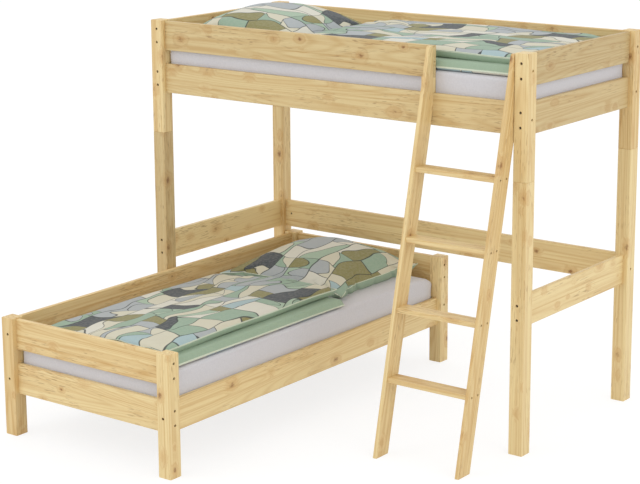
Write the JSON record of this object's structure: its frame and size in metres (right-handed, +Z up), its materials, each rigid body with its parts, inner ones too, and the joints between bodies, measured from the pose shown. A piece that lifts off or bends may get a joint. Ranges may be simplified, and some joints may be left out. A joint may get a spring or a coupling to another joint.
{
  "type": "bunk bed",
  "caption": "Corner bunk bed in pine: a loft bed on tall legs with a sloping ladder and a single bed standing at right angles under it, both with mattress and bedding.",
  "frame": {"origin": "on the floor, in the middle of the outline seen from above", "axes": "+X along the loft bed from its head to its ladder end, +Y to the back, +Z up"},
  "size_m": [2.1, 2.1, 1.7968],
  "materials": {
    "pine": "planed pine with knots, clear matt lacquer",
    "beech": "plain beech dowel rod",
    "steel": "zinc-plated screws, bolts and barrel nuts",
    "mattress_cover": "plain grey-white woven mattress cover",
    "bedding": null
  },
  "bodies": {
    "loft_bed": {"brace_rail_back": "pine", "brace_rail_left": "pine", "brace_rail_right": "pine", "guard_spacer_block": "pine", "ladder_fixing_screws": "steel", "ladder_stile_left": "pine", "ladder_stile_right": "pine", "ladder_tread_1": "pine", "ladder_tread_2": "pine", "ladder_tread_3": "pine", "ladder_tread_4": "pine", "ladder_tread_screws": "steel", "leg_dowels": "beech", "loft_barrel_nuts": "steel", "loft_end_rail_screws": "steel", "loft_guard_rail_front": "pine", "loft_ledge_back": "pine", "loft_ledge_front": "pine", "loft_ledge_screws": "steel", "loft_leg_back_left": "pine", "loft_leg_back_right": "pine", "loft_leg_front_left": "pine", "loft_leg_front_right": "pine", "loft_lower_rail_back": "pine", "loft_lower_rail_front": "pine", "loft_lower_rail_left": "pine", "loft_lower_rail_right": "pine", "loft_post_back_left": "pine", "loft_post_back_right": "pine", "loft_post_front_left": "pine", "loft_post_front_right": "pine", "loft_rail_bolts": "steel", "loft_slats": "pine", "loft_upper_rail_back": "pine", "loft_upper_rail_left": "pine", "loft_upper_rail_right": "pine"},
    "low_bed": {"low_barrel_nuts": "steel", "low_end_rail_screws": "steel", "low_ledge_left": "pine", "low_ledge_right": "pine", "low_ledge_screws": "steel", "low_lower_rail_foot": "pine", "low_lower_rail_head": "pine", "low_lower_rail_left": "pine", "low_lower_rail_right": "pine", "low_post_foot_left": "pine", "low_post_foot_right": "pine", "low_post_head_left": "pine", "low_post_head_right": "pine", "low_rail_bolts": "steel", "low_slats": "pine", "low_upper_rail_foot": "pine", "low_upper_rail_head": "pine", "low_upper_rail_left": "pine"},
    "loft_duvet": {"loft_duvet": "bedding"},
    "loft_mattress": {"loft_mattress": "mattress_cover"},
    "loft_pillow": {"loft_pillow": "bedding"},
    "low_duvet": {"low_duvet": "bedding"},
    "low_mattress": {"low_mattress": "mattress_cover"},
    "low_pillow": {"low_pillow": "bedding"}
  },
  "joints": [
    {"name": "low_bed_pull_out", "type": "slide", "parent": "loft_bed", "child": "low_bed", "axis": [0, -1, 0], "range_m": [0, 1.1]},
    {"name": "loft_mattress_lift", "type": "slide", "parent": "loft_bed", "child": "loft_mattress", "axis": [0, 0, 1], "range_m": [0, 0.3]},
    {"name": "loft_pillow_lift", "type": "slide", "parent": "loft_mattress", "child": "loft_pillow", "axis": [0, 0, 1], "range_m": [0, 0.3]},
    {"name": "loft_duvet_lift", "type": "slide", "parent": "loft_mattress", "child": "loft_duvet", "axis": [0, 0, 1], "range_m": [0, 0.3]},
    {"name": "low_mattress_lift", "type": "slide", "parent": "low_bed", "child": "low_mattress", "axis": [0, 0, 1], "range_m": [0, 0.3]},
    {"name": "low_pillow_lift", "type": "slide", "parent": "low_mattress", "child": "low_pillow", "axis": [0, 0, 1], "range_m": [0, 0.3]},
    {"name": "low_duvet_lift", "type": "slide", "parent": "low_mattress", "child": "low_duvet", "axis": [0, 0, 1], "range_m": [0, 0.3]}
  ]
}
